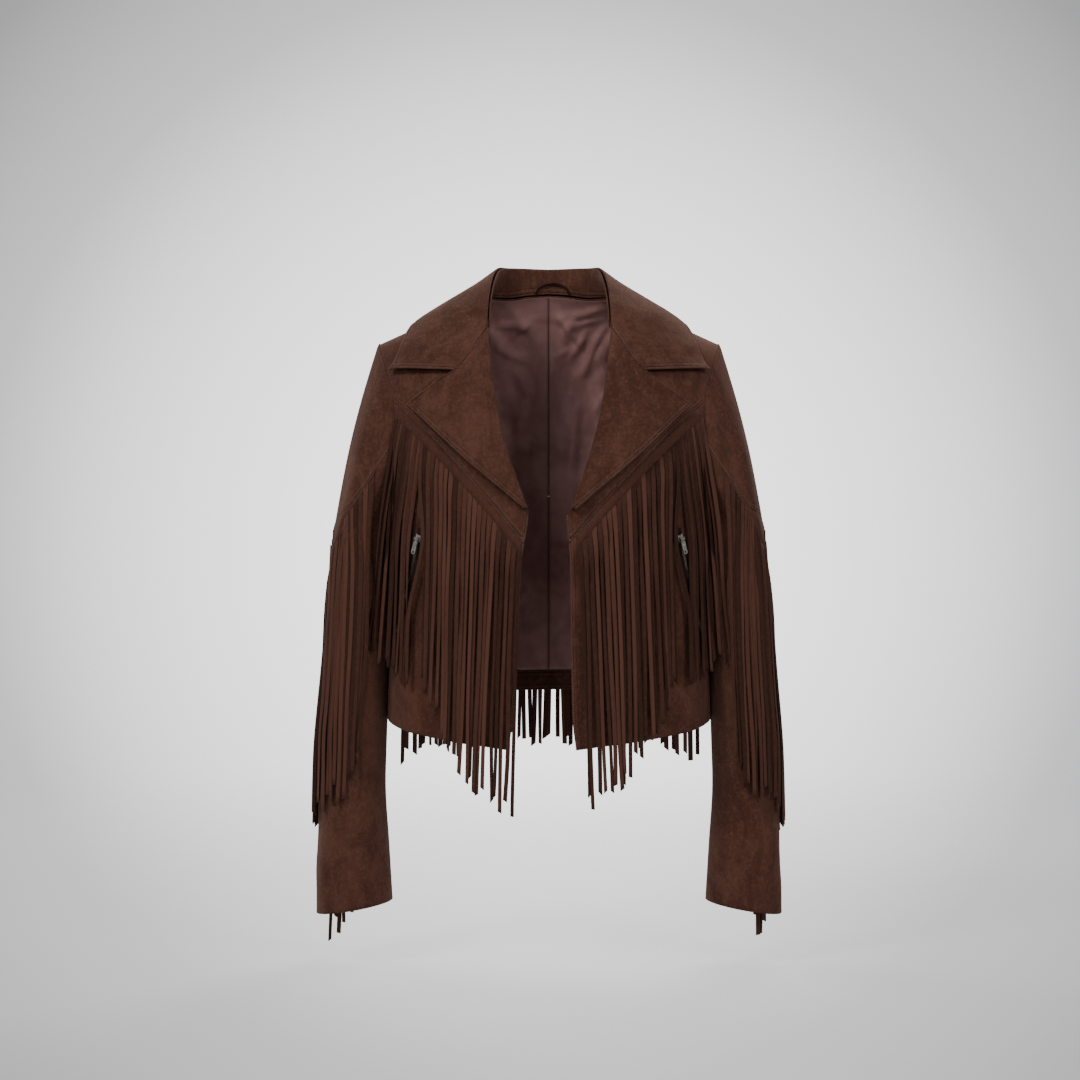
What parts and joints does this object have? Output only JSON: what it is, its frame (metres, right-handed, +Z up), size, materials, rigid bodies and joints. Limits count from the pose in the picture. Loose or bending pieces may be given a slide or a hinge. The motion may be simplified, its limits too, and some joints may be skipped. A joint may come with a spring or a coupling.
{
  "type": "cropped fringed suede jacket with notched collar",
  "caption": "Cropped brown suede jacket, worn shape, open front, wide notched collar, pointed yokes with long fringe, slanted zip pockets and a satin lining",
  "frame": {"origin": "middle of the line between the two shoulder points, where the garment rests on the wearer", "axes": "+Z up along the wearer's back, +X to the right as seen from the front, -Y out of the chest; drawn upright"},
  "size_m": [0.543, 0.2269, 0.7781],
  "materials": {
    "suede": "brushed brown suede, matt nap",
    "fringe_suede": "cut suede strips, matt with paler cut edges",
    "lining": "mauve brown satin with a soft sheen",
    "zip_tape": "woven dark brown tape",
    "zip_metal": "worn nickel, slightly dull"
  },
  "bodies": {
    "root": {"yoke_front_left": "suede", "yoke_front_right": "suede", "front_left": "suede", "front_right": "suede", "yoke_back": "suede", "back": "suede", "hem_facing_back": "suede", "sleeve_yoke_left": "suede", "sleeve_yoke_right": "suede", "sleeve_left": "suede", "sleeve_right": "suede", "collar_leaf": "suede", "collar_stand": "suede", "lapel_left": "suede", "lapel_right": "suede", "hanger_loop": "suede", "lining_front_left": "lining", "lining_front_right": "lining", "lining_back_left": "lining", "lining_back_right": "lining", "fringe_chest_left": "fringe_suede", "fringe_chest_right": "fringe_suede", "fringe_back": "fringe_suede", "fringe_sleeve_left": "fringe_suede", "fringe_sleeve_right": "fringe_suede", "zip_tape_left": "zip_tape", "zip_tape_right": "zip_tape", "zip_slider_left": "zip_metal", "zip_slider_right": "zip_metal"},
    "pull_left": {"zip_pull_left": "zip_metal"},
    "pull_right": {"zip_pull_right": "zip_metal"}
  },
  "joints": [
    {"name": "pull_left_swing", "type": "hinge", "parent": "root", "child": "pull_left", "pos_m": [-0.14764, -0.08956, -0.22286], "axis": [-0.7785, 0.5404, 0.3192], "range_deg": [-8, 110]},
    {"name": "pull_right_swing", "type": "hinge", "parent": "root", "child": "pull_right", "pos_m": [0.14764, -0.08956, -0.22286], "axis": [-0.7785, -0.5404, -0.3192], "range_deg": [-8, 110]}
  ]
}
